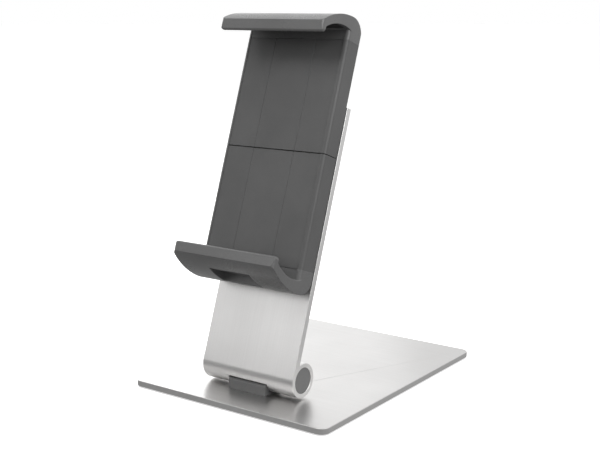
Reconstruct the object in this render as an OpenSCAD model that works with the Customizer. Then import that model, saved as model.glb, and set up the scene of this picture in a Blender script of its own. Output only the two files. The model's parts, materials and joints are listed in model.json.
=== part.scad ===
// Tablet stand: a flat base plate, an arm that tilts on a friction hinge, and a holder that
// turns on the arm and grips a tablet between two spring-loaded jaws.
// Units are millimetres. X is to the right, Y to the back, Z up; the floor is z = 0.
// The rest pose is the arm leaning back by arm_lean with the jaws closed.

/* [Base] */
// Width of the base plate
base_w = 155; // [120:1:220]
// Depth of the base plate
base_d = 188; // [140:1:260]
// Thickness of the base plate
base_t = 4; // [2:0.5:8]
// Corner radius of the base plate
base_corner_r = 6; // [1:0.5:20]
// Thickness of the anti-slip pad under the plate
pad_t = 0.8; // [0.4:0.1:3]

/* [Arm] */
// Lean of the arm back from upright, in the rest pose
arm_lean = 19.8; // [15.8:0.1:60]
// Width of the arm
arm_w = 74; // [50:1:100]
// Thickness of the arm's plate
arm_t = 4.5; // [3:0.5:8]
// Length of the arm from the hinge axis to its top end
arm_len = 176.5; // [120:0.5:260]
// Radius of the barrel at the foot of the arm
barrel_r = 11.4; // [9:0.1:20]
// Radius of the bore through the barrel
bore_r = 8.5; // [6:0.1:16]
// Distance of the hinge axis from the base's front edge
hinge_setback = 35.6; // [20:0.1:80]
// Gap between the barrel and the base plate
barrel_gap = 0.8; // [0.4:0.1:3]
// Distance of the holder's turning centre from the hinge axis
pivot_up = 141.6; // [100:0.1:220]

/* [Holder] */
// Width of the holder
holder_w = 80; // [60:1:120]
// Thickness of the holder's body
holder_t = 14.9; // [12:0.1:25]
// Space between the arm and the back of the holder
holder_gap = 4.7; // [3:0.1:10]
// Length of one jaw from the middle seam to the root of its claw
jaw_len = 73.8; // [60:0.1:120]
// Wall thickness of the jaw shells
wall = 2.4; // [1.5:0.1:4]
// Width of the seam between the closed jaws
seam = 0.4; // [0.2:0.1:2]
// Half the spacing of the two grooves on the front
groove_x = 16; // [8:0.5:30]
// Width of those grooves
groove_w = 0.5; // [0.2:0.1:1]
// Depth of those grooves
groove_depth = 0.2; // [0.1:0.05:0.6]
// Depth of the front panel below the rims on its two sides
panel_step = 0.4; // [0:0.1:0.8]
// Radius of the holder's long front edges
front_r = 3; // [1:0.5:5]

/* [Claw] */
// Reach of the claw in front of the holder's face
claw_reach = 30; // [15:1:50]
// Distance from the claw's root to its outer end
claw_rise = 15.5; // [10:0.5:30]
// Radius of the claw's outer curve
claw_outer_r = 54.5; // [40:0.5:90]
// Radius of the claw's inner curve
claw_inner_r = 35; // [20:0.5:60]
// Radius where the claw turns into the holder's back
claw_heel_r = 12; // [4:0.5:20]

/* [Hidden] */
$fn = 96;
eps = 0.1;
run = 0.05; // radial clearance of a running fit

base_top = pad_t + base_t;
axis_y = -base_d / 2 + hinge_setback;
axis_z = base_top + barrel_gap + barrel_r;

// Hinge block, measured from the hinge axis
block_w = 30;
block_hub_r = bore_r - 0.3;
block_back = 5;
shaft_r = 4;
shaft_len = 64;
slot_clear = 0.6; // beside the block, in the barrel's slot
slot_front = 70; // angle from straight down to the slot's front edge
slot_back = 110; // angle from straight down to its rear edge, for the folded arm
block_top = 64; // angle from straight down to the block's upper front face
screw4_r = 2;
screw4_len = 9.5;
screw4_x = 10;
screw4_y = [-7.5, 1];

// Inside the barrel, from the block outwards
washer_t = 0.9;
bush_len = 11;
disc_t = 1.6;
nut_t = 3.2;
cap_t = 4;
cap_sink = 0.3;

// Faces of the arm and the holder in the arm's frame, where -y is the front
arm_front = -barrel_r;
arm_back = arm_front + arm_t;
holder_back = arm_front - holder_gap;
holder_front = holder_back - holder_t;
panel_w = holder_w - 2 * front_r - 0.2;

// Turning joint
hub_disc_r = 22;
hub_neck_r = 15;
spigot_r = 8;
bush_r = 9.5;
flange_t = 0.8;
flange_r = 21;
hub_disc_front = holder_back + 0.3;
hub_disc_back = arm_front - flange_t;
spigot_end = arm_back + 0.6;
wave_t = 1.2;
thrust_t = 1.2;
pivot_screw_r = 3;
pivot_head_t = 2.4;
cover_r = 17;
cover_out = 6.4;
cover_wall = 1.2;
peg_r = 1.2;

// Inside the holder
cover_plate_t = 2;
carrier_t = 2;
carrier_front = holder_back - cover_plate_t - 0.5 - carrier_t;
carrier_x = 31;
carrier_z = 61;
rod_r = 2;
rod_x = 27;
rod_y = carrier_front - 3.4;
rod_lug_w = 6;
rod_lug_t = 3.5;
middle_lug_t = 5;
guide_z = [3.3, 17.3];
boss_r = 2.6;
boss_x = 34.4;
boss_z = [9, 45];
screw_r = 1.25;
screw_head_r = 2.4;
screw_head_t = 1.2;
screw_len = 7;
tongue_z = 63.5;
tongue_x = 36;
tongue_screw = [28, 69];
hub_screw_pcd_r = 11;
hub_screw_len = 8;

// Rack and pinion that keep the jaws centred
module_mm = 1;
pinion_teeth = 12;
pitch_r = module_mm * pinion_teeth / 2;
pressure = 20;
backlash = 0.3;
pinion_add = 0.9;
pinion_ded = 0.9;
rack_add = 0.65;
rack_ded = 1.15;
gear_y = [carrier_front - 4.4, carrier_front - 0.8];
rack_z = [-42, 16];
rack_back_x = 12;
rack_foot = [10.5, 12];
axle_r = 2;

// Jaw springs
spring_x = 19;
spring_y = carrier_front - 3.8;
spring_r = 2.3;
wire_r = 0.35;
spring_z = [5.5, 57];
spring_turns = 12;
coil_steps = 10;
wire_sides = 5;
plug_r = spring_r - wire_r - run;
plug_len = 4;
anchor_t = 3;

// Claw outline, with n measured forward from the hinge axis and s up from the middle seam
n_back = -holder_back;
n_front = -holder_front;
n_nose = n_front + claw_reach;
s_end = jaw_len + claw_rise;
outer_c = [26, s_end - claw_outer_r];
heel_n = n_back + claw_heel_r;
heel_c = [heel_n, outer_c[1] + sqrt(pow(claw_outer_r - claw_heel_r, 2) - pow(heel_n - outer_c[0], 2))];
heel_dir = (heel_c - outer_c) / (claw_outer_r - claw_heel_r);
inner_c = [35, 80.9 - claw_inner_r];
lip_n = n_nose - 4.7;
lip_s = inner_c[1] + sqrt(pow(claw_inner_r, 2) - pow(lip_n - inner_c[0], 2));
nose_r = 1.7;
nose_c = [n_nose - 2.9, jaw_len - 4 + nose_r];
mouth_r = front_r + 0.3;
tip_corner_r = 2.2;
root_s = inner_c[1] + sqrt(pow(claw_inner_r, 2) - pow(n_front - inner_c[0], 2));
crease_s = outer_c[1] + sqrt(pow(claw_outer_r, 2) - pow(n_nose - outer_c[0], 2));
pad_depth = 1.4;
pad_proud = 0.3;
recess_n = [33, 51];
recess_s = 83.3;

// ---- frames and small helpers ----

// The arm's frame: origin on the hinge axis, z along the arm, -y out of its front face
module arm_frame()
    translate([0, axis_y, axis_z])
        rotate([-arm_lean, 0, 0])
            children();

// The holder's frame: as the arm's, with the origin at the turning centre
module holder_frame()
    arm_frame()
        translate([0, 0, pivot_up])
            children();

module upper_frame()
    holder_frame()
        children();

// The lower jaw is the upper one turned half a turn
module lower_frame()
    holder_frame()
        rotate([0, 180, 0])
            children();

// A cylinder along x between two places
module rod_x(r, x0, x1)
    translate([x0, 0, 0])
        rotate([0, 90, 0])
            cylinder(r = r, h = x1 - x0);

// A cylinder along y between two places
module rod_y(r, y0, y1)
    translate([0, y1, 0])
        rotate([90, 0, 0])
            cylinder(r = r, h = y1 - y0);

// A box between two corners
module box(a, b)
    translate(a)
        cube(b - a);

module pair_x(x)
    for (side = [-1, 1])
        translate([side * x, 0, 0])
            children();

module rounded_plate(w, d, r, z0, h)
    translate([0, 0, z0])
        linear_extrude(h)
            difference() {
                square([w, d], center = true);
                for (sx = [-1, 1], sy = [-1, 1])
                    translate([sx * (w / 2 - r), sy * (d / 2 - r)])
                        difference() {
                            translate([sx > 0 ? 0 : -2 * r, sy > 0 ? 0 : -2 * r])
                                square(2 * r);
                            circle(r);
                        }
            }

// An outline of (n, s) points drawn across the width
module across(w)
    rotate([90, 0, -90])
        linear_extrude(w, center = true)
            children();

// A countersunk screw with its head's face at y = 0, pointing to -y
module csk_screw(r, head_r, head_t, len) {
    rotate([90, 0, 0])
        cylinder(r = r, h = len);
    rotate([90, 0, 0])
        cylinder(r1 = head_r, r2 = r, h = head_t);
}

// ---- base ----

module block_screw_places()
    for (x = [-screw4_x, screw4_x], y = screw4_y)
        translate([x, axis_y + y, pad_t])
            children();

module block_screw() {
    cylinder(r = screw4_r, h = screw4_len);
    cylinder(r1 = 2 * screw4_r, r2 = screw4_r, h = screw4_r);
}

module base_plate()
    color("Silver")
        difference() {
            rounded_plate(base_w, base_d, base_corner_r, pad_t, base_t);
            block_screw_places() {
                translate([0, 0, -eps])
                    cylinder(r = screw4_r, h = base_t + 2 * eps);
                cylinder(r1 = 2 * screw4_r, r2 = screw4_r, h = screw4_r);
            }
        }

module base_pad()
    color("DimGray")
        rounded_plate(base_w - 6, base_d - 6, base_corner_r - 2, 0, pad_t);

// The block's side outline, with y to the back and z up from the hinge axis
module block_outline() {
    foot = -(barrel_r + barrel_gap);
    rim = block_hub_r * 0.94;
    circle(block_hub_r);
    polygon([
        [-barrel_r, foot],
        [block_back, foot],
        [block_back, 0],
        [-rim * sin(block_top), -rim * cos(block_top)],
        [-barrel_r, -barrel_r / tan(block_top)]
    ]);
}

module hinge_block()
    color("DimGray")
        difference() {
            translate([0, axis_y, axis_z])
                rotate([90, 0, 90])
                    linear_extrude(block_w, center = true)
                        block_outline();
            translate([0, axis_y, axis_z])
                rod_x(shaft_r, -block_w, block_w);
            block_screw_places()
                cylinder(r = screw4_r, h = screw4_len);
            translate([0, axis_y, axis_z])
                cylinder(r = 1.5, h = 2 * block_hub_r, center = true);
        }

module block_screws()
    color("LightGray")
        block_screw_places()
            block_screw();

module hinge_shaft()
    color("LightGray")
        translate([0, axis_y, axis_z])
            difference() {
                rod_x(shaft_r, -shaft_len / 2, shaft_len / 2);
                cylinder(r = 1.5, h = 3 * shaft_r, center = true);
            }

module shaft_pin()
    color("Gray")
        translate([0, axis_y, axis_z])
            cylinder(r = 1.5, h = 2 * block_hub_r - 1.2, center = true);

module shaft_ring(r, x0, t)
    for (side = [-1, 1])
        translate([0, axis_y, axis_z])
            difference() {
                rod_x(r, side > 0 ? x0 : -x0 - t, side > 0 ? x0 + t : -x0);
                rod_x(shaft_r, -50, 50);
            }

module friction_washers()
    color("Goldenrod")
        shaft_ring(7.6, block_w / 2, washer_t);

module disc_springs()
    color("SlateGray")
        shaft_ring(7.2, block_w / 2 + washer_t + bush_len + 0.1, disc_t);

module shaft_nuts()
    color("LightGray")
        for (side = [0, 180])
            translate([0, axis_y, axis_z])
                rotate([0, 0, side])
                    difference() {
                        translate([block_w / 2 + washer_t + bush_len + 0.1 + disc_t, 0, 0])
                            rotate([0, 90, 0])
                                cylinder(r = 7.4, h = nut_t, $fn = 6);
                        rod_x(shaft_r, 0, 50);
                    }

// ---- arm ----

// A sector from the hinge axis, by angles from straight down, positive to the back
function sector(r, from, to) = [
    [0, 0],
    for (i = [0 : 6])
        let (a = from + (to - from) * i / 6) [r * sin(a), -r * cos(a)]
];

module arm()
    color("Silver")
        arm_frame()
            difference() {
                rotate([90, 0, 90])
                    linear_extrude(arm_w, center = true)
                        difference() {
                            union() {
                                circle(barrel_r);
                                translate([arm_front, 0])
                                    square([arm_t, arm_len]);
                            }
                            circle(bore_r);
                        }
                rotate([90, 0, 90])
                    linear_extrude(block_w + 2 * slot_clear, center = true)
                        polygon(sector(18, arm_lean - slot_front, arm_lean + slot_back));
                translate([0, 0, pivot_up]) {
                    rod_y(bush_r, arm_front - eps, arm_back + eps);
                    cover_pegs(arm_back - 3);
                }
            }

module friction_bushes()
    color("Tan")
        arm_frame()
            for (side = [0, 180])
                rotate([0, 0, side])
                    difference() {
                        rod_x(bore_r, block_w / 2 + washer_t, block_w / 2 + washer_t + bush_len);
                        rod_x(shaft_r + run, 0, 50);
                    }

module barrel_caps()
    color("DimGray")
        arm_frame()
            for (side = [0, 180])
                rotate([0, 0, side])
                    rod_x(bore_r, arm_w / 2 - cap_sink - cap_t, arm_w / 2 - cap_sink);

module pivot_bush()
    color("WhiteSmoke")
        holder_frame()
            difference() {
                union() {
                    rod_y(bush_r, arm_front, arm_back);
                    rod_y(flange_r, arm_front - flange_t, arm_front);
                }
                rod_y(spigot_r + run, arm_front - 5, arm_back + 5);
            }

module cover_pegs(y0)
    for (a = [90, 210, 330])
        rotate([0, a, 0])
            translate([14.5, 0, 0])
                rod_y(peg_r, y0, arm_back + 0.2);

module pivot_cover()
    color("DimGray")
        holder_frame() {
            difference() {
                union() {
                    rod_y(cover_r, arm_back, arm_back + cover_out - 1);
                    rod_y(cover_r - 1, arm_back + cover_out - 1.5, arm_back + cover_out);
                }
                rod_y(cover_r - cover_wall - 2.2, arm_back - eps, arm_back + cover_out - cover_wall);
            }
            cover_pegs(arm_back - 2.8);
        }

// ---- turning joint and carrier ----

module hub_screw_places(y)
    for (a = [45 : 90 : 315])
        rotate([0, a, 0])
            translate([hub_screw_pcd_r, y, 0])
                children();

module pivot_hub()
    color("DimGray")
        holder_frame()
            difference() {
                union() {
                    rod_y(hub_neck_r, carrier_front + carrier_t, hub_disc_front + 1);
                    rod_y(hub_disc_r, hub_disc_front, hub_disc_back);
                    rod_y(spigot_r, hub_disc_back - 1, spigot_end);
                }
                rod_y(pivot_screw_r, spigot_end - 9, spigot_end + 1);
                hub_screw_places(carrier_front + hub_screw_len)
                    rod_y(1.5, -hub_screw_len, 0);
            }

module wave_spring()
    color("SlateGray")
        holder_frame()
            difference() {
                rod_y(12.5, arm_back + 0.02, arm_back + wave_t);
                rod_y(bush_r, arm_back - 1, arm_back + 5);
            }

module thrust_washer()
    color("LightGray")
        holder_frame()
            difference() {
                rod_y(12.8, arm_back + wave_t, arm_back + wave_t + thrust_t);
                rod_y(pivot_screw_r, arm_back - 1, arm_back + 5);
            }

module pivot_screw()
    color("LightGray")
        holder_frame() {
            y0 = arm_back + wave_t + thrust_t;
            difference() {
                union() {
                    rod_y(pivot_screw_r, spigot_end - 8.5, y0);
                    rod_y(5.5, y0, y0 + pivot_head_t);
                }
                translate([0, y0 + 0.9, 0])
                    rotate([-90, 0, 0])
                        cylinder(r = 2.3, h = 5, $fn = 6);
            }
        }

module hub_screws()
    color("LightGray")
        holder_frame()
            hub_screw_places(carrier_front)
                rotate([0, 0, 180])
                    csk_screw(1.5, 2.8, 1.3, hub_screw_len);

module rod_lug(z0, z1)
    pair_x(rod_x)
        box([-rod_lug_w / 2, rod_y - 3.2, z0], [rod_lug_w / 2, carrier_front + eps, z1]);

module carrier()
    color("LightSlateGray")
        holder_frame()
            difference() {
                union() {
                    box([-carrier_x, carrier_front, -carrier_z],
                        [carrier_x, carrier_front + carrier_t, carrier_z]);
                    rod_lug(carrier_z - rod_lug_t, carrier_z);
                    rod_lug(-middle_lug_t / 2, middle_lug_t / 2);
                    rod_lug(-carrier_z, -carrier_z + rod_lug_t);
                    for (side = [0, 180])
                        rotate([0, side, 0])
                            pair_x(spring_x) {
                                box([-plug_r, spring_y - plug_r, spring_z[0] - anchor_t],
                                    [plug_r, carrier_front + eps, spring_z[0]]);
                                translate([0, spring_y, spring_z[0] - anchor_t / 2])
                                    cylinder(r = plug_r, h = plug_len + anchor_t / 2);
                            }
                }
                pair_x(rod_x)
                    translate([0, rod_y, -carrier_z - 1])
                        cylinder(r = rod_r, h = 2 * carrier_z + 2);
                rod_y(axle_r, carrier_front - 1, carrier_front + carrier_t + 1);
                hub_screw_places(carrier_front)
                    rotate([0, 0, 180]) {
                        csk_screw(1.5, 2.8, 1.3, carrier_t + 1);
                    }
            }

module guide_rods()
    color("Gainsboro")
        holder_frame()
            pair_x(rod_x)
                translate([0, rod_y, -carrier_z])
                    cylinder(r = rod_r, h = 2 * carrier_z);

module pinion_axle()
    color("Gainsboro")
        holder_frame() {
            rod_y(axle_r, gear_y[0] - 0.3, carrier_front + carrier_t);
            rod_y(3.4, gear_y[0] - 1.5, gear_y[0] - 0.2);
        }

// Involute flank: radius r gives the angle turned from the flank's foot on the base circle
base_r = pitch_r * cos(pressure);
function roll(r) = sqrt(pow(r / base_r, 2) - 1) * 180 / PI;
function flank_angle(r) = roll(r) - acos(base_r / r);
half_tooth = 90 / pinion_teeth + flank_angle(pitch_r) - backlash / 4 / pitch_r * 180 / PI;
flank_r = [for (i = [0 : 4]) base_r + (pitch_r + pinion_add - base_r) * i / 4];
function polar(r, a) = [r * cos(a), r * sin(a)];
root_r = pitch_r - pinion_ded;

module pinion_outline()
    polygon([
        for (t = [0 : pinion_teeth - 1])
            let (a = t * 360 / pinion_teeth)
                each concat(
                    [polar(root_r, a - half_tooth)],
                    [for (r = flank_r) polar(r, a - half_tooth + flank_angle(r))],
                    [for (i = [4 : -1 : 0]) polar(flank_r[i], a + half_tooth - flank_angle(flank_r[i]))],
                    [polar(root_r, a + half_tooth)]
                )
    ]);

// The pinion has a tooth on +x, so the rack has a space there
module pinion()
    color("Ivory")
        holder_frame()
            difference() {
                translate([0, gear_y[1], 0])
                    rotate([90, 0, 0])
                        linear_extrude(gear_y[1] - gear_y[0])
                            pinion_outline();
                rod_y(axle_r + run, gear_y[0] - 1, gear_y[1] + 1);
            }

// ---- one jaw, drawn as the upper one ----

pitch = PI * module_mm;
rack_half = (pitch / 2 - backlash / 2) / 2;

// Rack outline in x and z: teeth point to -x, with a space at z = 0
rack_tip = pitch_r - rack_add;
rack_root = pitch_r + rack_ded;
rack_first = ceil(rack_z[0] / pitch - 0.5) + 1;
rack_last = floor(rack_z[1] / pitch - 0.5) - 1;
function rack_tooth(z) = [
    [rack_root, z - rack_half - rack_ded * tan(pressure)],
    [rack_tip, z - rack_half + rack_add * tan(pressure)],
    [rack_tip, z + rack_half - rack_add * tan(pressure)],
    [rack_root, z + rack_half + rack_ded * tan(pressure)]
];

module rack_outline()
    polygon(concat(
        [[rack_root, rack_z[0]]],
        [for (i = [rack_first : rack_last]) each rack_tooth((i + 0.5) * pitch)],
        [
            [rack_root, rack_z[1]], [14, rack_z[1]], [14, rack_z[1] - 8],
            [rack_back_x, rack_z[1] - 8], [rack_back_x, rack_z[0]]
        ]
    ));

module jaw_rack()
    difference() {
        translate([0, gear_y[1], 0])
            rotate([90, 0, 0])
                linear_extrude(gear_y[1] - gear_y[0])
                    rack_outline();
        translate([rack_foot[0], gear_y[1], rack_foot[1]])
            csk_screw(screw_r, screw_head_r, screw_head_t, 8);
    }

module cover_screw_places() {
    for (z = boss_z)
        pair_x(boss_x)
            translate([0, holder_back, z])
                children();
    pair_x(tongue_screw[0])
        translate([0, holder_back, tongue_screw[1]])
            children();
}

module jaw_screws() {
    cover_screw_places()
        csk_screw(screw_r, screw_head_r, screw_head_t, screw_len);
    translate([rack_foot[0], gear_y[1], rack_foot[1]])
        csk_screw(screw_r, screw_head_r, screw_head_t, screw_len - 0.4);
}

// The front panel lies a little below the rounded rims on its two sides
module panel_recess(z0, z1)
    box([-panel_w / 2, holder_front - 1, z0], [panel_w / 2, holder_front + panel_step, z1]);

// The holder's cross-section: w wide, with rounded front and back corners
module body_outline(front_y) {
    w = holder_w / 2;
    rf = front_r;
    rb = 1.5;
    difference() {
        translate([-w, front_y])
            square([holder_w, holder_back - front_y]);
        for (side = [-1, 1]) {
            translate([side * (w - rf), front_y + rf])
                difference() {
                    translate([side > 0 ? 0 : -2 * rf, -2 * rf])
                        square(2 * rf);
                    circle(rf);
                }
            translate([side * (w - rb), holder_back - rb])
                difference() {
                    translate([side > 0 ? 0 : -2 * rb, 0])
                        square(2 * rb);
                    circle(rb);
                }
        }
    }
}

module jaw_shell() {
    inner = holder_w / 2 - wall;
    front_in = holder_front + wall;
    difference() {
        union() {
            difference() {
                translate([0, 0, seam / 2])
                    linear_extrude(jaw_len - seam / 2)
                        body_outline(holder_front);
                box([-inner, front_in, -1], [inner, 0, jaw_len + 1]);
            }
            for (z = boss_z)
                pair_x(boss_x)
                    translate([0, 0, z])
                        rod_y(boss_r, front_in - eps, holder_back - cover_plate_t);
            pair_x(rod_x)
                box([-rod_lug_w / 2, front_in - eps, guide_z[0]],
                    [rod_lug_w / 2, carrier_front - 0.6, guide_z[1]]);
            pair_x(spring_x) {
                box([-plug_r, front_in - eps, spring_z[1]],
                    [plug_r, spring_y + plug_r, spring_z[1] + anchor_t]);
                translate([0, spring_y, spring_z[1] - plug_len])
                    cylinder(r = plug_r, h = plug_len + anchor_t / 2);
            }
            translate([rack_foot[0], 0, rack_foot[1]])
                rod_y(3, front_in - eps, gear_y[0]);
        }
        cover_screw_places()
            csk_screw(screw_r, screw_head_r, screw_head_t, screw_len);
        translate([rack_foot[0], gear_y[1], rack_foot[1]])
            rotate([90, 0, 0])
                cylinder(r = screw_r, h = screw_len);
        pair_x(rod_x)
            translate([0, rod_y, guide_z[0] - 1])
                cylinder(r = rod_r + run, h = guide_z[1] - guide_z[0] + 2);
        panel_recess(-1, jaw_len + 1);
        for (side = [-1, 1])
            box([side * groove_x - groove_w / 2, holder_front - 1, -1],
                [side * groove_x + groove_w / 2, holder_front + panel_step + groove_depth, jaw_len + 1]);
    }
}

module jaw_cover()
    difference() {
        box([-(holder_w / 2 - wall - 0.1), holder_back - cover_plate_t, seam / 2],
            [holder_w / 2 - wall - 0.1, holder_back, jaw_len - 0.1]);
        rod_y(hub_neck_r + 0.6, holder_back - 5, holder_back + 5);
        cover_screw_places()
            csk_screw(screw_r, screw_head_r, screw_head_t, screw_len);
    }

// The claw's side outline in n and s
module claw_outline() {
    heel_line = jaw_len - outer_c[1];
    split_n = outer_c[0] + heel_dir[0] / heel_dir[1] * heel_line;
    far = outer_c + heel_dir * (claw_outer_r + 12);
    difference() {
        union() {
            intersection() {
                translate(outer_c)
                    circle(claw_outer_r, $fn = 360);
                polygon(concat(
                    [[split_n, jaw_len], far, [n_nose, far[1]], [n_nose, crease_s]],
                    [for (a = [0 : -20 : -180]) nose_c + nose_r * [cos(a), sin(a)]],
                    [[lip_n, lip_s - 0.6], [lip_n, jaw_len - 1], [n_front, jaw_len - 1], [n_front, jaw_len]]
                ));
            }
            intersection() {
                translate(heel_c)
                    circle(claw_heel_r);
                polygon([heel_c, [n_back - 5, heel_c[1]], [n_back - 5, far[1]], far]);
            }
            polygon([
                [n_back, jaw_len], [split_n, jaw_len], heel_c, [n_back, heel_c[1]]
            ]);
        }
        intersection() {
            translate(inner_c)
                circle(claw_inner_r, $fn = 240);
            translate([n_front, jaw_len - 20])
                square([lip_n - n_front, 40]);
        }
    }
}

// The pad's side outline, let into the claw's inner curve
module pad_outline(grow)
    intersection() {
        difference() {
            translate(inner_c)
                circle(claw_inner_r + pad_depth, $fn = 240);
            translate(inner_c)
                circle(claw_inner_r - grow, $fn = 240);
        }
        translate([n_front + 2, jaw_len])
            square([lip_n - n_front - 4, 20]);
    }

// A quarter of round taken off the corner that points along +x and +y, as the outline to cut away
module corner_cut(r)
    difference() {
        square(r + 1);
        circle(r);
    }

module jaw_claw(cable_recess)
    difference() {
        union() {
            intersection() {
                across(holder_w)
                    claw_outline();
                translate([0, 0, jaw_len - 6])
                    linear_extrude(claw_rise + 12)
                        body_outline(-n_nose - 0.01);
            }
            box([-tongue_x, holder_front + wall + eps, tongue_z],
                [tongue_x, holder_back - cover_plate_t, jaw_len + 1]);
        }
        panel_recess(jaw_len - 2, root_s - 0.3);
        across(holder_w - 7)
            pad_outline(pad_proud + 1);
        if (cable_recess)
            box([-groove_x, -n_nose - 1, recess_s], [groove_x, -recess_n[0], s_end + 5]);
        pair_x(tongue_screw[0])
            translate([0, holder_back, tongue_screw[1]])
                rotate([90, 0, 0])
                    cylinder(r = screw_r, h = screw_len);
        for (turn = [0, 1])
            mirror([turn, 0, 0]) {
                intersection() {
                    translate([holder_w / 2 - front_r, holder_front + front_r, jaw_len - 1])
                        linear_extrude(2 * front_r + 2)
                            mirror([0, 1, 0])
                                corner_cut(front_r);
                    across(holder_w + 2) {
                        translate([n_front + 0.2, root_s - mouth_r])
                            circle(mouth_r);
                        translate([n_front - front_r - 0.5, jaw_len - 2])
                            square([2 * front_r, root_s - mouth_r - jaw_len + 2]);
                    }
                }
                translate([holder_w / 2 - tip_corner_r, -lip_n + 1, nose_c[1] - nose_r + tip_corner_r])
                    rotate([90, 0, 0])
                        linear_extrude(n_nose - lip_n + 2)
                            mirror([0, 1, 0])
                                corner_cut(tip_corner_r);
            }
    }

module jaw_pad()
    across(holder_w - 7)
        pad_outline(pad_proud);

// A helical tension spring of round wire along z, closed at both ends
function coil_ring(i, z0, z1) =
    let (
        a = 360 * i / coil_steps,
        z = z0 + (z1 - z0) * i / (spring_turns * coil_steps),
        p = [spring_r * cos(a), spring_r * sin(a), z]
    )
        [for (j = [0 : wire_sides - 1])
            let (b = 360 * j / wire_sides)
                p + wire_r * [cos(a) * cos(b), sin(a) * cos(b), sin(b)]];

module coil(z0, z1) {
    n = spring_turns * coil_steps;
    k = wire_sides;
    polyhedron(
        points = [for (i = [0 : n]) each coil_ring(i, z0, z1)],
        faces = concat(
            [[for (j = [k - 1 : -1 : 0]) j]],
            [for (i = [0 : n - 1], j = [0 : k - 1])
                [i * k + j, i * k + (j + 1) % k, (i + 1) * k + (j + 1) % k, (i + 1) * k + j]],
            [[for (j = [0 : k - 1]) n * k + j]]
        )
    );
}

// Two tension springs, each from a plug on the carrier to a plug on the jaw
module jaw_springs()
    pair_x(spring_x)
        translate([0, spring_y, 0])
            coil(spring_z[0] + wire_r, spring_z[1] - wire_r);

module upper_shell() color("DimGray") upper_frame() jaw_shell();
module upper_cover() color("Gray") upper_frame() jaw_cover();
module upper_claw() color("DimGray") upper_frame() jaw_claw(false);
module upper_claw_pad() color("DarkSlateGray") upper_frame() jaw_pad();
module upper_rack() color("Ivory") upper_frame() jaw_rack();
module upper_screws() color("LightGray") upper_frame() jaw_screws();
module upper_springs() color("SlateGray") upper_frame() jaw_springs();

module lower_shell() color("DimGray") lower_frame() jaw_shell();
module lower_cover() color("Gray") lower_frame() jaw_cover();
module lower_claw() color("DimGray") lower_frame() jaw_claw(true);
module lower_claw_pad() color("DarkSlateGray") lower_frame() jaw_pad();
module lower_rack() color("Ivory") lower_frame() jaw_rack();
module lower_screws() color("LightGray") lower_frame() jaw_screws();
module lower_springs() color("SlateGray") lower_frame() jaw_springs();

// ---- the parts ----

base_plate();
base_pad();
hinge_block();
block_screws();
hinge_shaft();
shaft_pin();
friction_washers();
disc_springs();
shaft_nuts();
arm();
friction_bushes();
barrel_caps();
pivot_bush();
pivot_cover();
pivot_hub();
wave_spring();
thrust_washer();
pivot_screw();
hub_screws();
carrier();
guide_rods();
pinion_axle();
pinion();
upper_shell();
upper_cover();
upper_claw();
upper_claw_pad();
upper_rack();
upper_screws();
upper_springs();
lower_shell();
lower_cover();
lower_claw();
lower_claw_pad();
lower_rack();
lower_screws();
lower_springs();
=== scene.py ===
"""The tablet stand's looks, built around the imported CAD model: a metal plate and arm, a moulded holder
and the small parts inside them. Lengths are in metres."""

import json
import math

import bmesh
import bpy
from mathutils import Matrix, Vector


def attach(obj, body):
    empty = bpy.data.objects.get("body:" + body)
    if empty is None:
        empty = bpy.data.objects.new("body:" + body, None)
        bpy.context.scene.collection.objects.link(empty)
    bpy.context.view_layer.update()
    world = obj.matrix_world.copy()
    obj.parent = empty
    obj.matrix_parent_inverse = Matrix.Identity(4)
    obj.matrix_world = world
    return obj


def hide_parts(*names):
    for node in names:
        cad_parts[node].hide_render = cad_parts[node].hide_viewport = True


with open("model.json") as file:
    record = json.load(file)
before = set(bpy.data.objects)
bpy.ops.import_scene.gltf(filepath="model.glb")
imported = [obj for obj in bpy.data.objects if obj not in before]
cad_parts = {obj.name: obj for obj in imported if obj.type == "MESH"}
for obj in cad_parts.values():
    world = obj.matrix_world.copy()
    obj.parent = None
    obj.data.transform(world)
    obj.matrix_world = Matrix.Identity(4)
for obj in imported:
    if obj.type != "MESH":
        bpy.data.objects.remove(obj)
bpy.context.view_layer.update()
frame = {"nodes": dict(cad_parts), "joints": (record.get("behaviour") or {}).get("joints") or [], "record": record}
NODES = frame["nodes"]
JOINTS = {joint["name"]: joint for joint in frame["joints"]}
BODY_OF = {
    node: body
    for body, members in frame["record"]["behaviour"]["bodies"].items()
    for node in members
}
SLOT_OF = {node: thing.material_slots[0].material.name for node, thing in NODES.items()}

MM = 0.001
HOLDER_UP = Vector(JOINTS["upper_jaw_slide"]["axis"]).normalized()  # along the arm
ARM_LEAN = math.atan2(HOLDER_UP.y, HOLDER_UP.z)

# Camera, at the photograph's viewing angle; the lens is in millimetres
CAMERA_PLACE = Vector((0.4224, -0.5998, 0.2522))
CAMERA_YAW = math.radians(35.53)
CAMERA_PITCH = math.radians(-11.45)
CAMERA_LENS = 65.8
CAMERA_SHIFT = (-0.0028, 0.0015)

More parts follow.
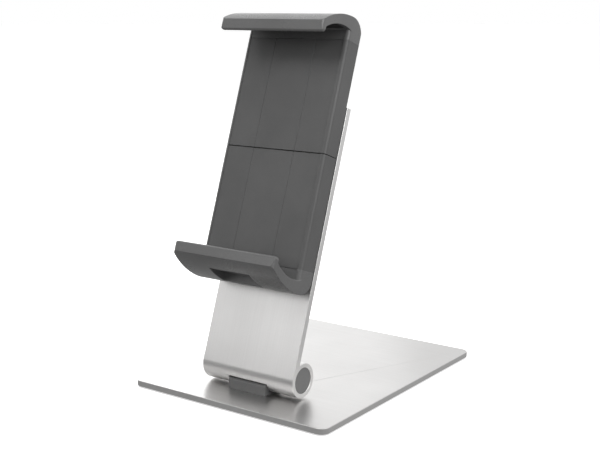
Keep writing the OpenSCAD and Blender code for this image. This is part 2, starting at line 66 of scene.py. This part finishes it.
# Soft panels: name, place, the point it faces, width and height, watts
LIGHTS = (
    ("light_top", (-0.1, 0.1, 1.6), (0, 0, 0.1), (1.2, 1.2), 13),
    ("light_front", (-0.25, -0.80, 1.05), (0, 0, 0.15), (0.8, 0.5), 5),
    ("light_low", (-0.60, -0.90, 0.46), (0, 0, 0.12), (0.6, 0.4), 0.92),
    ("light_rim", (0.34, -1.08, 0.52), (0, 0, 0.15), (0.6, 0.5), 0.5),
    ("light_side", (1.1, -0.25, 0.75), (0, 0, 0.15), (0.8, 0.8), 7),
    ("light_line", (-0.07, -1.13, 0.53), (0, 0, 0.15), (0.10, 0.5), 0.3),
    ("light_card", (-0.68, 0.20, 0.16), (-0.05, -0.05, 0.05), (0.85, 0.45), 1.2),
    ("light_back", (-0.52, 0.50, 0.16), (0, 0, 0.05), (0.55, 0.5), 0.3),
)
BACKDROP_WAY = (-0.35, 0.94, 0)  # towards the bright end of the studio
FLOOR_RADIUS = 14
FLOOR_DROP = 0.2 * MM  # keeps the floor clear of the foot pad

# Finishes
METAL_PATCHES = 22  # tone patches to the metre
PLASTIC_PATCHES = 30
LINE_DEPTH = 0.004 * MM  # of the metals' brushing and grain
TONE_SPAN = 0.04  # how far the metals' roughness goes either way
GRAIN_SPAN = 0.05  # the same for the plastics

# Rounded copies of the CAD nodes
SHARP_ANGLE = math.radians(28)  # edges turning more than this are rounded
FLAT_ANGLE = math.radians(1)  # faces closer than this become one
FACET_ANGLE = math.radians(12)  # faces closer than this are shaded as one surface
ROUNDING_STEPS = 3


# ---------------------------------------------------------------- camera, lights and floor


def make_camera():
    data = bpy.data.cameras.new("camera")
    data.lens = CAMERA_LENS
    data.sensor_width = 36
    data.shift_x, data.shift_y = CAMERA_SHIFT
    data.clip_start = 0.01
    camera = bpy.data.objects.new("camera", data)
    camera.location = CAMERA_PLACE
    camera.rotation_euler = (math.pi / 2 + CAMERA_PITCH, 0, CAMERA_YAW)
    bpy.context.scene.collection.objects.link(camera)
    bpy.context.scene.camera = camera


def area_light(name, place, target, size, power):
    """A soft panel that the camera doesn't see, facing the target."""
    data = bpy.data.lights.new(name, "AREA")
    data.shape = "RECTANGLE"
    data.size, data.size_y = size
    data.energy = power
    light = bpy.data.objects.new(name, data)
    light.location = place
    direction = Vector(target) - Vector(place)
    light.rotation_euler = direction.to_track_quat("-Z", "Y").to_euler()
    light.visible_camera = False
    bpy.context.scene.collection.objects.link(light)


def make_world():
    """A studio that is bright behind and to the right, dimmer before the object, and seen as white."""
    world = bpy.data.worlds.new("studio")
    world.use_nodes = True
    tree = world.node_tree
    tree.nodes.clear()
    place = tree.nodes.new("ShaderNodeTexCoord")
    split = tree.nodes.new("ShaderNodeSeparateXYZ")
    tree.links.new(place.outputs["Generated"], split.inputs[0])
    sideways, height = split.outputs["X"], split.outputs["Z"]
    away = tree.nodes.new("ShaderNodeVectorMath")
    away.operation = "DOT_PRODUCT"
    away.inputs[1].default_value = BACKDROP_WAY
    tree.links.new(place.outputs["Generated"], away.inputs[0])
    behind = remap(tree, away.outputs["Value"], (-0.2, 0.6), (0, 1), "SMOOTHSTEP")
    before = combine(tree, 1, behind, "SUBTRACT")
    front_level = remap(tree, height, (-0.7, 0.0), (0.45, 0.27), "SMOOTHSTEP")
    back_level = remap(tree, height, (-0.3, 0.1), (0.45, 0.92), "SMOOTHSTEP")
    to_right = remap(tree, sideways, (0.2, 0.9), (0, 0.45), "SMOOTHSTEP")
    above_floor = remap(tree, height, (-0.3, 0.1), (0, 1), "SMOOTHSTEP")
    front_part = combine(tree, front_level, before, "MULTIPLY")
    back_part = combine(tree, back_level, behind, "MULTIPLY")
    right_part = combine(tree, to_right, above_floor, "MULTIPLY")
    level = combine(tree, combine(tree, front_part, back_part), right_part)
    around = tree.nodes.new("ShaderNodeBackground")
    tree.links.new(level, around.inputs["Strength"])
    seen = tree.nodes.new("ShaderNodeBackground")
    seen.inputs["Strength"].default_value = 1.0
    for backdrop in (around, seen):
        backdrop.inputs["Color"].default_value = (1, 1, 1, 1)
    path = tree.nodes.new("ShaderNodeLightPath")
    mix = tree.nodes.new("ShaderNodeMixShader")
    out = tree.nodes.new("ShaderNodeOutputWorld")
    tree.links.new(path.outputs["Is Camera Ray"], mix.inputs["Fac"])
    tree.links.new(around.outputs[0], mix.inputs[1])
    tree.links.new(seen.outputs[0], mix.inputs[2])
    tree.links.new(mix.outputs[0], out.inputs["Surface"])
    bpy.context.scene.world = world
    bpy.context.scene.view_settings.view_transform = "Standard"


def make_floor():
    """White paper that takes the object's shadow, but is neither mirrored in it nor lights it."""
    mesh = bpy.data.meshes.new("floor")
    form = bmesh.new()
    bmesh.ops.create_circle(form, cap_ends=True, segments=96, radius=FLOOR_RADIUS)
    form.to_mesh(mesh)
    form.free()
    floor = bpy.data.objects.new("floor", mesh)
    floor.location.z = -FLOOR_DROP
    bpy.context.scene.collection.objects.link(floor)
    material, shader, _ = new_material("floor_paper")
    shader.inputs["Base Color"].default_value = (0.93, 0.93, 0.93, 1)
    shader.inputs["Roughness"].default_value = 0.9
    shader.inputs["Specular IOR Level"].default_value = 0.1
    shader.inputs["Emission Color"].default_value = (1, 1, 1, 1)
    shader.inputs["Emission Strength"].default_value = 0.45
    mesh.materials.append(material)
    floor.visible_glossy = False
    floor.visible_diffuse = False


# ---------------------------------------------------------------- materials


def new_material(name):
    """(material, its Principled shader, its node tree)"""
    material = bpy.data.materials.new(name)
    material.use_nodes = True
    tree = material.node_tree
    tree.nodes.clear()
    shader = tree.nodes.new("ShaderNodeBsdfPrincipled")
    out = tree.nodes.new("ShaderNodeOutputMaterial")
    tree.links.new(shader.outputs[0], out.inputs["Surface"])
    return material, shader, tree


def coordinates(tree, stretch=(1, 1, 1), lean=0.0):
    """Object coordinates in metres, turned back by lean about X, times stretch."""
    place = tree.nodes.new("ShaderNodeTexCoord")
    turn = tree.nodes.new("ShaderNodeMapping")
    turn.vector_type = "POINT"
    turn.inputs["Rotation"].default_value = (lean, 0, 0)
    tree.links.new(place.outputs["Object"], turn.inputs["Vector"])
    scale = tree.nodes.new("ShaderNodeVectorMath")
    scale.operation = "MULTIPLY"
    scale.inputs[1].default_value = stretch
    tree.links.new(turn.outputs[0], scale.inputs[0])
    return scale.outputs[0]


def noise(tree, vector, scale, detail=2.0, roughness=0.5):
    """Noise with that many features to the metre, from 0 to 1."""
    texture = tree.nodes.new("ShaderNodeTexNoise")
    texture.inputs["Scale"].default_value = scale
    texture.inputs["Detail"].default_value = detail
    texture.inputs["Roughness"].default_value = roughness
    tree.links.new(vector, texture.inputs["Vector"])
    return texture.outputs["Fac"]


def remap(tree, value, source, target, curve="LINEAR"):
    """value taken from the range source to the range target, clamped."""
    node = tree.nodes.new("ShaderNodeMapRange")
    node.interpolation_type = curve
    for socket, number in zip(("From Min", "From Max", "To Min", "To Max"), (*source, *target)):
        node.inputs[socket].default_value = number
    tree.links.new(value, node.inputs["Value"])
    return node.outputs["Result"]


def combine(tree, first, second, how="ADD"):
    """Two values or numbers put together by that operation."""
    node = tree.nodes.new("ShaderNodeMath")
    node.operation = how
    for socket, value in zip(node.inputs, (first, second)):
        if isinstance(value, (int, float)):
            socket.default_value = value
        else:
            tree.links.new(value, socket)
    return node.outputs[0]


def mixture(tree, *shares):
    """The sum of each value times its share."""
    parts = [combine(tree, value, share, "MULTIPLY") for value, share in shares]
    total = parts[0]
    for part in parts[1:]:
        total = combine(tree, total, part)
    return total


def shade(tree, factor, dark, light):
    """A colour between two, by factor."""
    node = tree.nodes.new("ShaderNodeMix")
    node.data_type = "RGBA"
    tree.links.new(factor, node.inputs["Factor"])
    node.inputs["A"].default_value = (*dark, 1)
    node.inputs["B"].default_value = (*light, 1)
    return node.outputs["Result"]


def bump(tree, shader, height, distance, corner=0.0):
    """Fine relief; corner is the radius, in metres, that edges are shaded with."""
    node = tree.nodes.new("ShaderNodeBump")
    node.inputs["Distance"].default_value = distance
    tree.links.new(height, node.inputs["Height"])
    if corner:
        edge = tree.nodes.new("ShaderNodeBevel")
        edge.samples = 8
        edge.inputs["Radius"].default_value = corner
        tree.links.new(edge.outputs[0], node.inputs["Normal"])
    tree.links.new(node.outputs[0], shader.inputs["Normal"])


def metal(name, dark, light, roughness, lines=None, lean=0.0, grain=1500):
    """Bare metal. lines is the brushing's stretch along each axis, many lines to the metre across it,
    and grain the number of fine features to the metre."""
    material, shader, tree = new_material(name)
    shader.inputs["Metallic"].default_value = 1.0
    vector = coordinates(tree)
    cloud = noise(tree, vector, METAL_PATCHES, 3)
    fine = noise(tree, vector, grain, 2)
    if lines:
        brushed = noise(tree, coordinates(tree, lines, lean), 1.0, 4, 0.65)
        tone = mixture(tree, (cloud, 0.45), (fine, 0.2), (brushed, 0.35))
        height = mixture(tree, (brushed, 1), (fine, 0.25))
    else:
        tone = combine(tree, mixture(tree, (cloud, 0.45), (fine, 0.2)), 0.2)
        height = fine
    colour = shade(tree, remap(tree, tone, (0.35, 0.85), (0, 1)), dark, light)
    tree.links.new(colour, shader.inputs["Base Color"])
    spread = remap(tree, tone, (0.3, 0.9), (roughness + TONE_SPAN, roughness - TONE_SPAN))
    tree.links.new(spread, shader.inputs["Roughness"])
    bump(tree, shader, height, LINE_DEPTH)
    return material


def plastic(name, dark, light, roughness, grain=2600, depth=0.02 * MM, lustre=0.5, corner=0.0):
    """Moulded plastic with a fine spark-eroded grain of that depth and slight mottling."""
    material, shader, tree = new_material(name)
    vector = coordinates(tree)
    fine = noise(tree, vector, grain, 2, 0.6)
    cloud = noise(tree, vector, PLASTIC_PATCHES, 4)
    tone = mixture(tree, (fine, 0.4), (cloud, 0.6))
    colour = shade(tree, remap(tree, tone, (0.35, 0.65), (0, 1)), dark, light)
    tree.links.new(colour, shader.inputs["Base Color"])
    spread = remap(tree, tone, (0.35, 0.65), (roughness + GRAIN_SPAN, roughness - GRAIN_SPAN))
    tree.links.new(spread, shader.inputs["Roughness"])
    shader.inputs["Specular IOR Level"].default_value = lustre
    bump(tree, shader, fine, depth, corner)
    return material


def grey(value, warmth=0.0):
    """A grey, a little redder and less blue with warmth."""
    return (value * (1 + warmth), value, value * (1 - warmth))


def make_materials():
    """One finish for each of the record's material slots, by the slot's name."""
    plate_lines = (14, 900, 900)
    arm_lines = (900, 900, 14)
    rod_lines = (60, 2500, 2500)
    return {
        "brushed_plate": metal("plate_steel", grey(0.61, 0.01), grey(0.71, 0.008), 0.30, plate_lines),
        "brushed_aluminium": metal(
            "arm_aluminium", grey(0.70, 0.01), grey(0.80, 0.008), 0.36, arm_lines, ARM_LEAN
        ),
        "holder_plastic": plastic("holder_grey", grey(0.072), grey(0.090), 0.38, lustre=0.4),
        "claw_plastic": plastic("claw_grey", grey(0.094), grey(0.114), 0.28, corner=0.5 * MM),
        "cover_plastic": plastic("cover_grey", grey(0.070), grey(0.088), 0.55),
        "dark_plastic": plastic("hinge_grey", grey(0.105), grey(0.130), 0.45),
        "cap_plastic": plastic("cap_grey", grey(0.125), grey(0.150), 0.55),
        "soft_pad": plastic(
            "pad_rubber", grey(0.020), grey(0.030), 0.8, grain=1400, depth=0.06 * MM, lustre=0.3
        ),
        "hardware": metal("screw_steel", grey(0.30), grey(0.42), 0.28),
        "steel": metal("rod_steel", grey(0.55), grey(0.66), 0.18, rod_lines),
        "spring_steel": metal("spring_steel", grey(0.42), grey(0.52), 0.26),
        "bronze": metal("bush_bronze", (0.50, 0.30, 0.13), (0.62, 0.40, 0.19), 0.34),
        "nylon": plastic("nylon_natural", (0.62, 0.60, 0.54), (0.70, 0.68, 0.62), 0.5, lustre=0.4),
        "carrier_metal": metal("carrier_zinc", grey(0.42), grey(0.52), 0.42, grain=900),
    }


MATERIALS = make_materials()


# ---------------------------------------------------------------- pieces


def dress(thing, slot):
    """Puts the slot's finish on every material slot of the object."""
    if not thing.material_slots:
        thing.data.materials.append(MATERIALS[slot])
    for place in thing.material_slots:
        place.material = MATERIALS[slot]


def whole_faces(mesh, shortest):
    """Joins the triangles of each flat face and marks the sharp edges, to be rounded.
    Edges shorter than shortest go first, so that the rounding has room."""
    form = bmesh.new()
    form.from_mesh(mesh)
    bmesh.ops.remove_doubles(form, verts=form.verts, dist=shortest / 5)
    bmesh.ops.dissolve_degenerate(form, edges=form.edges, dist=shortest)
    bmesh.ops.dissolve_limit(
        form, angle_limit=FLAT_ANGLE, verts=form.verts, edges=form.edges,
        use_dissolve_boundaries=False, delimit={"NORMAL"},
    )
    layer = form.edges.layers.float.new("bevel_weight_edge")
    for edge in form.edges:
        if len(edge.link_faces) == 2 and edge.calc_face_angle(0) > SHARP_ANGLE:
            edge[layer] = 1.0
    form.to_mesh(mesh)
    form.free()


def softened(node, width, shortest=0.06 * MM):
    """A finished piece that stands for a CAD node, with its sharp edges rounded over that width."""
    mesh = NODES[node].data.copy()
    whole_faces(mesh, shortest)
    piece = bpy.data.objects.new(node + "_finished", mesh)
    bpy.context.scene.collection.objects.link(piece)
    rounding = piece.modifiers.new("rounding", "BEVEL")
    rounding.width = width
    rounding.segments = ROUNDING_STEPS
    rounding.limit_method = "WEIGHT"
    rounding.use_clamp_overlap = False
    rounding.miter_outer = "MITER_ARC"
    finished = piece.evaluated_get(bpy.context.evaluated_depsgraph_get())
    piece.data = bpy.data.meshes.new_from_object(finished)
    piece.modifiers.clear()
    piece.data.shade_smooth()
    piece.data.set_sharp_from_angle(angle=FACET_ANGLE)
    shading = piece.modifiers.new("shading", "WEIGHTED_NORMAL")
    shading.mode = "FACE_AREA"
    shading.weight = 100
    shading.keep_sharp = True
    dress(piece, SLOT_OF[node])
    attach(piece, BODY_OF[node])
    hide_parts(node)


def make_pieces():
    """Every CAD node in its finish, and rounded copies in place of the ones whose edges show."""
    for node, thing in NODES.items():
        dress(thing, SLOT_OF[node])
    softened("base_plate", 0.45 * MM)
    softened("arm", 0.4 * MM)
    softened("hinge_block", 0.4 * MM)
    for jaw in ("upper", "lower"):
        softened(jaw + "_shell", 0.12 * MM)
        softened(jaw + "_claw", 0.1 * MM, 0.1 * MM)
        softened(jaw + "_cover", 0.2 * MM)
    softened("barrel_caps", 0.3 * MM)
    softened("pivot_cover", 0.4 * MM)


# ---------------------------------------------------------------- the scene

make_camera()
make_world()
for row in LIGHTS:
    area_light(*row)
make_floor()
make_pieces()
